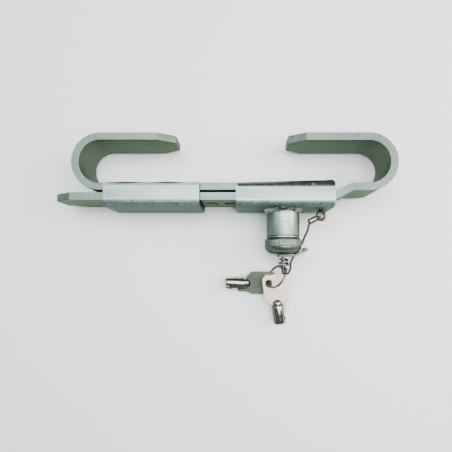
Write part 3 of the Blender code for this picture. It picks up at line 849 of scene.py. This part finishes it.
def make_barrel():
    """The barrel's tube, with its stop pin's hole."""
    low, high = BARREL
    outer = (high.x - low.x) / 2
    inner = 0.0115
    profile = [(inner + 0.0003, low.y), (outer - 0.0007, low.y), (outer - 0.0002, low.y + 0.0002)]
    profile += [(outer, low.y + 0.0007), (outer, high.y), (inner, high.y), (inner, low.y + 0.0003)]
    body = revolve(profile, "barrel_blank", 144)
    pin_hole = drum(0.0018, AXIS_Z - 0.018, AXIS_Z - 0.009, (AXIS_X, 0.0005), "Z", 32)
    mesh = worked(body, "lock_barrel_visual", [pin_hole], (), 0)
    add_piece(mesh, "barrel_steel", "fixed_hook", "lock_barrel", 32)


def make_end_ring():
    """The thin ring at the barrel's end, with round edges."""
    low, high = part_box("barrel_end_ring")
    outer = (high.x - low.x) / 2
    soft = 0.0003
    profile = [(outer - soft, low.y), (outer - 0.3 * soft, low.y + 0.3 * soft), (outer, low.y + soft)]
    profile += [(outer, high.y - soft), (outer - 0.3 * soft, high.y - 0.3 * soft), (outer - soft, high.y)]
    profile += [(0.0123, high.y), (0.0123, low.y)]
    mesh = revolve(profile, "barrel_end_ring_visual", 144)
    add_piece(mesh, "cap_steel", "fixed_hook", "barrel_end_ring", 32, "barrel_steel")


def make_cap():
    """A hollow cap with a domed end and a diamond knurl round its band."""
    low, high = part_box("dust_cap")
    outer = (high.x - low.x) / 2
    knurl_low, knurl_high, knurl_depth = -0.0131, -0.0072, 0.00062
    teeth = 64
    dome = [
        (0.0022, 0.0001),
        (0.0060, 0.0001),
        (0.0098, 0.0005),
        (0.0125, 0.0012),
        (0.0141, 0.0019),
        (0.0152, 0.0027),
        (0.0161, 0.0035),
        (0.0168, 0.0044),
        (0.0174, 0.0056),
        (0.0178, 0.0066),
        (0.0178, 0.0071),
    ]
    outside = [(r, low.y + y) for r, y in dome]
    band = 24
    for k in range(band + 1):
        outside.append((outer - 0.0002, knurl_low + (knurl_high - knurl_low) * k / band))
    outside += [(0.0179, -0.0068), (0.0166, -0.0055), (0.0161, high.y)]
    inside = [
        (0.0122, high.y),
        (0.0120, -0.0054),
        (0.0120, -0.0066),
        (0.0134, -0.0067),
        (0.0134, -0.0093),
        (0.0120, -0.0094),
        (0.0120, -0.0156),
        (0.0118, -0.0158),
        (0.0022, -0.0158),
    ]

    def knurl(angle, r, y):
        if r < outer - 0.0003 or not knurl_low - 1e-6 <= y <= knurl_high + 1e-6:
            return r, y
        turn = angle * teeth / math.tau
        along = (y - knurl_low) / (knurl_high - knurl_low)
        row = along * 3.5
        first = abs((turn + row) % 1.0 - 0.5) * 2
        second = abs((turn - row) % 1.0 - 0.5) * 2
        fade = min(1.0, along / 0.06, (1 - along) / 0.06)
        return r - knurl_depth * (1 - first * second) * fade - 0.00005 * (1 - fade), y

    mesh = revolve(outside + inside, "dust_cap_visual", teeth * 6, shift=knurl)
    add_piece(mesh, "cap_steel", "dust_cap", "dust_cap", 50)


def make_stud():
    """The cap's stud: a knob outside, a neck for the coil, and a head inside the cap."""
    low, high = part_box("cap_stud")
    knob = [(0.0001, 0), (0.0016, 0), (0.0022, 0.0002), (0.0024, 0.0006), (0.0022, 0.0009)]
    neck = [(0.0016, 0.0010), (0.0015, 0.0013), (0.0015, 0.0046), (0.0017, 0.0048)]
    head = [(0.0017, -0.0011), (0.0032, -0.0011), (0.0032, -0.0003), (0.0029, 0), (0.0001, 0)]
    profile = [(r, low.y + y) for r, y in knob + neck]
    profile += [(r, high.y + y) for r, y in head]
    mesh = revolve(profile, "cap_stud_visual", 48)
    add_piece(mesh, "cap_steel", "dust_cap", "cap_stud", 32)


def make_eye():
    """A welded eye on the guide's web, with a fillet of weld round its neck."""
    high_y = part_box("tether_eye")[1].y
    steps, sides = 72, 20
    rows = []
    for i in range(steps):
        a = math.tau * i / steps
        outward = Vector((math.cos(a), math.sin(a), 0))
        rows.append(circle(EYE_CENTRE + EYE_RADIUS * outward, EYE_WIRE, outward, UP, sides))
    ring = loft(rows, "eye_ring", True)
    profile = [(0.0001, 0.0202), (0.0016, 0.0202), (0.0018, 0.0208), (0.0020, 0.0214)]
    profile += [(0.0023, 0.0219), (0.0028, high_y), (0.0028, high_y + 0.0003), (0.0001, high_y + 0.0003)]
    neck = revolve(profile, "eye_neck", 36, (EYE_CENTRE.x, AXIS_Z))
    mesh = worked(ring, "tether_eye_visual", (), [neck], 0)
    add_piece(mesh, "zinc_steel", "fixed_hook", "tether_eye", 40, "eye_steel")


def make_spring():
    """The spring behind the core, with close end turns."""
    low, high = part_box("bolt_spring")
    wire = 0.0006
    radius = (high.x - low.x) / 2 - wire
    length = high.y - low.y
    turns, per_turn = 5.0, 28
    close = 0.16
    points = []
    for k in range(round(turns * per_turn) + 1):
        at = k / (turns * per_turn)
        start_part = 0.08 * min(1.0, at / close)
        open_part = 0.84 * min(1.0, max(0.0, (at - close) / 0.68))
        end_part = 0.08 * max(0.0, at - 0.84) / close
        y = low.y + wire + (length - 2 * wire) * (start_part + open_part + end_part)
        angle = math.tau * turns * at
        points.append((AXIS_X + radius * math.cos(angle), y, AXIS_Z + radius * math.sin(angle)))
    mesh = loft(rounded_ends(points, 0.98 * wire, 10), "bolt_spring_visual")
    piece = add_piece(mesh, "spring_steel", "lock_core", "bolt_spring")
    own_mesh(piece)


# --- Tab, link, ring and keys ---


def make_tab():
    """A bent strip under the cap, with round corners, a curled end and ribs across it."""
    low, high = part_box("tether_tab")
    flat_y, cut_low, cut_high = -0.0219, -0.025, -0.019
    corners = [(low.x, flat_y, 0), (0.0654, flat_y, 0.004), (0.0762, -0.0170, 0)]
    blank = prism(strip(corners, 0.0018, 10), low.z, high.z, "tab_blank")
    curl = drum(0.0021, low.z, high.z, (0.0764, -0.0158), "Z", 48)
    ribs = []
    for k in range(6):
        spot = (0.0672 + 0.00128 * k, -0.0202 + 0.00059 * k)
        ribs.append(drum(0.0005, low.z + 0.0004, high.z - 0.0004, spot, "Z", 16))
    corner, past = 0.0032, 0.001
    trims = []
    x = low.x
    for up in (1, -1):
        z = AXIS_Z + up * (high.z - low.z) / 2
        turns = (math.radians(10 * k) for k in range(10))
        outline = [(x + corner * (1 - math.sin(a)), z - up * corner * (1 - math.cos(a))) for a in turns]
        outline += [(x - past, z - up * corner), (x - past, z + up * past), (x + corner, z + up * past)]
        trims.append(prism(outline, cut_low, cut_high, "trim", "XZY"))
    stud_hole = drum(0.0020, cut_low, cut_high, (AXIS_X, AXIS_Z), "Y", 40)
    blank = worked(blank, "tab_joined", trims + [stud_hole], [curl] + ribs, 0)
    mesh = worked(blank, "tether_tab_visual", (), (), 0.0002, 2)
    add_piece(mesh, "cap_steel", "dust_cap", "tether_tab", look="tab_steel")


def ring_frame():
    """The ring's three directions: towards its far end, across it, and its normal."""
    flat = Vector((-RING_ALONG.y, RING_ALONG.x, 0)).normalized()
    if flat.x < 0:
        flat = -flat
    rise = RING_ALONG.cross(flat)
    if rise.z < 0:
        rise = -rise
    across = math.cos(RING_TILT) * flat + math.sin(RING_TILT) * rise
    return RING_ALONG, across, RING_ALONG.cross(across)


def ring_point(angle):
    """A point on the ring's centre line."""
    along, across, _ = ring_frame()
    return RING_CENTRE + RING_RADIUS * (math.cos(angle) * along + math.sin(angle) * across)


def rounded_ends(points, radius, sides=14):
    """Rings of a round wire along a line, with domed ends."""
    line = frames(points)
    rows = [circle(p, radius, a, b, sides) for p, _, a, b in line]
    domes = []
    for place, sign in ((line[0], -1), (line[-1], 1)):
        p, heading, a, b = place
        leans = [math.radians(22 * k) for k in range(1, 5)]
        spots = [p + sign * heading * radius * math.sin(lean) for lean in leans]
        domes.append([circle(q, radius * math.cos(lean), a, b, sides) for q, lean in zip(spots, leans)])
    return domes[0][::-1] + rows + domes[1]


def make_link():
    """A coil that hangs from the stud and ends in an eye round the key ring."""
    along, _, normal = ring_frame()
    held = ring_point(math.pi)
    start = Vector((AXIS_X, -0.0238, AXIS_Z))
    end = Vector((AXIS_X + 0.0010, -0.0322, AXIS_Z - 0.0015))
    axis = (end - start).normalized()
    side = axis.cross(UP).normalized()
    up = side.cross(axis)
    turns, per_turn = 2.25, 20
    count = round(turns * per_turn)
    points = []
    for k in range(count + 1):
        at = k / count
        grown = min(1.0, max(0.0, (at - 0.09) / 0.14))
        radius = 0.0026 + 0.0016 * grown * grown * (3 - 2 * grown)
        angle = math.tau * turns * at
        points.append(start.lerp(end, at) + radius * (math.cos(angle) * up + math.sin(angle) * side))
    wire, loop_radius = 0.00108, 0.0027
    for k in range(11):
        a = math.radians(200 + 26 * k)
        points.append(held + loop_radius * (math.cos(a) * along - math.sin(a) * normal))
    mesh = loft(rounded_ends(smooth(points, 0.0006), wire), "swivel_link_visual")
    add_piece(mesh, "spring_steel", "swivel_link", "swivel_link")


def make_ring():
    """A split ring: two turns of flat wire side by side, with a step where it crosses over."""
    along, across, normal = ring_frame()
    half_wide, half_thick = 0.00098, 0.00046
    open_by, step_half = 0.16, 0.22
    rows = []
    steps = 260
    for i in range(steps + 1):
        turn = open_by + (2 * math.tau - 2 * open_by) * i / steps
        shift = max(-1.0, min(1.0, (turn - math.tau) / step_half))
        offset = half_thick * 1.04 * math.sin(shift * math.pi / 2)
        angle = turn + RING_STEP
        outward = math.cos(angle) * along + math.sin(angle) * across
        centre = RING_CENTRE + RING_RADIUS * outward + offset * normal
        row = []
        for k in range(16):
            a = math.tau * k / 16
            u = math.copysign(abs(math.cos(a)) ** 0.6, math.cos(a)) * half_wide
            v = math.copysign(abs(math.sin(a)) ** 0.6, math.sin(a)) * half_thick
            if i in (0, steps):
                u, v = 0.8 * u, 0.8 * v
            row.append(centre + u * outward + v * normal)
        rows.append(row)
    mesh = loft(rows, "key_ring_visual")
    add_piece(mesh, "spring_steel", "key_ring", "key_ring")


def key_matrix(hole_at, heading, roll):
    """Carries the key's own frame, +X to its tip and +Z up from its plate, to its place."""
    x = Vector(heading).normalized()
    y = UP.cross(x).normalized()
    z = x.cross(y)
    turn = Matrix((x, y, z)).transposed().to_4x4()
    placed = turn @ Matrix.Rotation(roll, 4, "X")
    hole = placed @ Vector((*KEY_HOLE_AT, 0))
    return Matrix.Translation(Vector(hole_at) - hole) @ placed


def lathe_x(profile, name, steps=72):
    """Turns closed (radius, x) points about the key's own X axis."""
    rows = []
    for k in range(steps):
        a = math.tau * k / steps
        rows.append([(x, r * math.cos(a), r * math.sin(a)) for r, x in profile])
    return loft(rows, name, True)


def key_nose(radius):
    """The profile of a key's domed root, as (radius, x) points."""
    turns = [math.radians(90 * k / 8) for k in range(8)]
    around = [(radius * math.cos(a), KEY_NOSE_START - radius * 0.92 * math.sin(a)) for a in turns]
    return around + [(0.0001, KEY_NOSE_START - radius * 0.92)]


def make_bow(label, matrix, slot):
    """A key's flat bow, with its ring hole and a hollow for the shank's root."""
    outline = [
        (0, -0.0088),
        (0, 0.0088),
        (0.0034, 0.0121),
        (0.0242, 0.0121),
        (0.0292, 0.0094),
        (0.0380, 0.0092),
        (0.0386, 0.0085),
        (0.0386, 0.0066),
        (0.0300, 0.0062),
        (0.0305, -0.0062),
        (0.0248, -0.0121),
        (0.0034, -0.0121),
    ]
    radii = [0.003, 0.003, 0.003, 0.003, 0.002, 0.0008, 0.0008, 0.0006, 0.0004, 0.0008, 0.002, 0.003]
    half = KEY_PLATE / 2
    blank = prism(rounded(outline, radii, 5), -half, half, label + "_blank")
    x, y = KEY_HOLE_AT
    hole = rounded(
        [
            (x - 0.0030, y - 0.0032),
            (x - 0.0044, y + 0.0006),
            (x - 0.0032, y + 0.0034),
            (x + 0.0010, y + 0.0036),
            (x + 0.0042, y + 0.0020),
            (x + 0.0042, y - 0.0012),
            (x + 0.0014, y - 0.0034),
        ],
        0.0012,
    )
    relief = KEY_NOSE + 0.0005
    hollow = lathe_x([(0.0001, 0.060), (relief, 0.060)] + key_nose(relief), "hollow", 48)
    mesh = worked(blank, label + "_bow_visual", [prism(hole, -0.004, 0.004, "hole"), hollow], (), 0.00035)
    mesh.transform(matrix)
    add_piece(mesh, slot, label, label + "_bow")


def make_shank(label, matrix):
    """A key's tubular shank, with a domed root, a groove, cuts for the pins and a nib."""
    bore, shoulder = 0.0043, 0.0322
    tip = KEY_LENGTH
    profile = [
        (0.0001, tip - 0.010),
        (bore, tip - 0.010),
        (bore, tip - 0.0002),
        (bore + 0.0002, tip),
        (KEY_TUBE - 0.0005, tip),
        (KEY_TUBE - 0.0001, tip - 0.0003),
        (KEY_TUBE, tip - 0.0006),
        (KEY_TUBE, tip - 0.0086),
        (KEY_TUBE - 0.0003, tip - 0.0088),
        (KEY_TUBE - 0.0003, tip - 0.0094),
        (KEY_TUBE, tip - 0.0096),
        (KEY_TUBE, shoulder + 0.0005),
        (KEY_TUBE - 0.0002, shoulder + 0.0001),
        (KEY_TUBE - 0.0006, shoulder),
        (KEY_NOSE, shoulder),
        *key_nose(KEY_NOSE),
    ]
    shank = lathe_x(profile, label + "_tube")
    cutters = []
    for k, depth in enumerate(KEY_CUTS):
        a = math.tau * (k + 0.5) / len(KEY_CUTS)
        spot = ((KEY_TUBE + 0.0002) * math.cos(a), (KEY_TUBE + 0.0002) * math.sin(a))
        cutters.append(drum(0.0009, tip - depth, tip + 0.002, spot, "X", 20))
    nib_low, nib_high, nib_half = tip - 0.0055, tip - 0.0035, 0.0015
    nib = [(nib_low, -nib_half), (nib_high, -nib_half), (nib_high, nib_half), (nib_low, nib_half)]
    nib = prism(rounded(nib, 0.0004), KEY_TUBE - 0.0004, KEY_TUBE + 0.0009, "nib", "XZY")
    mesh = worked(shank, label + "_shank_visual", cutters, [nib], 0)
    mesh.transform(matrix)
    add_piece(mesh, "key_chrome", label, label + "_shank", 32)


def make_keys():
    lower_hole = (0.0411, -0.0432, 0.0083)
    upper_hole = (0.0418, -0.0495, 0.0130)
    pitch = math.radians(9.4)
    heading = (0.137 * math.cos(pitch), -0.9906 * math.cos(pitch), -math.sin(pitch))
    keys = (
        ("key_1", key_matrix(lower_hole, (-1, 0, 0), math.radians(-20)), "key_dark"),
        ("key_2", key_matrix(upper_hole, heading, 0), "key_nickel"),
    )
    for label, matrix, slot in keys:
        make_bow(label, matrix, slot)
        make_shank(label, matrix)


# --- Tether ---


def tether_route():
    """The cable's line: out of the crimp, through the eye, back, down past the cap and round the ring."""
    heading = Vector((0.90, 0.436, 0)).normalized()
    spread = STRAND_SPREAD * UP
    held = EYE_CENTRE - EYE_RADIUS * heading
    near = held - CRIMP_GAP * heading
    far = near - CRIMP_LENGTH * heading
    turns = [math.radians(-100 + 25 * k) for k in range(9)]
    loop = [held + EYE_LOOP * (math.cos(a) * heading + math.sin(a) * UP) for a in turns]
    route = [far + 0.0008 * heading - spread, near - spread]
    route += loop
    route += [near + spread, far + spread]
    route += [
        (0.0804, 0.0086, 0.0249),
        (0.0795, 0.0035, 0.0230),
        (0.0774, -0.0023, 0.0190),
        (0.0752, -0.0091, 0.0150),
        (0.0725, -0.0141, 0.0127),
        (0.0694, -0.0193, 0.0128),
        (0.0659, -0.0240, 0.0150),
        (0.0632, -0.0293, 0.0192),
        (0.0623, -0.0340, 0.0250),
    ]
    angle = math.radians(152)
    along, across, normal = ring_frame()
    outward = math.cos(angle) * along + math.sin(angle) * across
    turns = [math.radians(-75 - 38 * k) for k in range(8)]
    route += [ring_point(angle) + EYE_LOOP * (math.cos(a) * outward + math.sin(a) * normal) for a in turns]
    return route, near, far


def make_tether():
    """The stranded cable, with its strands twisted along its length."""
    route, near, far = tether_route()
    line = smooth(route, 0.0004)
    sides = 40
    rows = []
    gone = 0.0
    for i, (p, _, a, b) in enumerate(frames(line)):
        if i:
            gone += (line[i] - line[i - 1]).length
        twist = math.tau * gone / TETHER_LAY
        row = []
        for k in range(sides):
            t = math.tau * k / sides
            strand = abs(math.cos(TETHER_STRANDS / 2 * (t - twist)))
            r = TETHER_RADIUS * (0.88 + 0.12 * strand**0.6)
            row.append(p + r * (math.cos(t) * a + math.sin(t) * b))
        rows.append(row)
    mesh = loft(rows, "tether_visual")
    piece = put("tether_visual", mesh)
    mesh.materials.append(MATERIALS["tether_wire"])
    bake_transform(piece)
    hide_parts("tether_cable")
    crimp = make_crimp(near, far)


def make_crimp(near, far):
    """An oval sleeve pressed over the two strands, with two dents from the tool."""
    heading = (near - far).normalized()
    side = UP.cross(heading).normalized()
    start = far - 0.0010 * heading
    length = (near - far).length + 0.0016
    half_wide, half_tall = 0.0029, 0.0040
    sides, steps = 48, 44
    rows = []

    def oval(at, inner):
        squeeze = sum(math.exp(-(((at - spot) / 0.085) ** 2)) for spot in (0.28, 0.72))
        rim = min(at, 1 - at)
        shrink = 1 - 0.10 * max(0.0, 1 - rim / 0.05) ** 2
        wide = half_wide * (1 - 0.16 * squeeze) * shrink
        tall = half_tall * shrink
        if inner:
            wide, tall = 0.00150, 0.00290
        row = []
        for k in range(sides):
            t = math.tau * k / sides
            u = wide * math.cos(t)
            v = wide * math.sin(t) + math.copysign(tall - wide, math.sin(t)) * min(1.0, abs(math.sin(t)) * 4)
            row.append(start + heading * length * at + u * side + v * UP)
        return row

    for i in range(steps + 1):
        rows.append(oval(i / steps, False))
    for at in (1.0, 0.97, 0.03, 0.0):
        rows.append(oval(at, True))
    mesh = loft(rows, "upper_crimp_visual", True)
    return add_piece(mesh, "crimp_alloy", "fixed_hook", "upper_crimp", 40)


make_camera()
make_lights()
make_floor()
paint_cad_nodes()
make_fixed_hook()
make_sliding_hook()
make_guide("left_guide")
make_guide("right_guide")
make_beads()
make_barrel_weld()
make_barrel()
make_end_ring()
make_cap()
make_stud()
make_eye()
make_spring()
make_tab()
make_link()
make_ring()
make_keys()
make_tether()
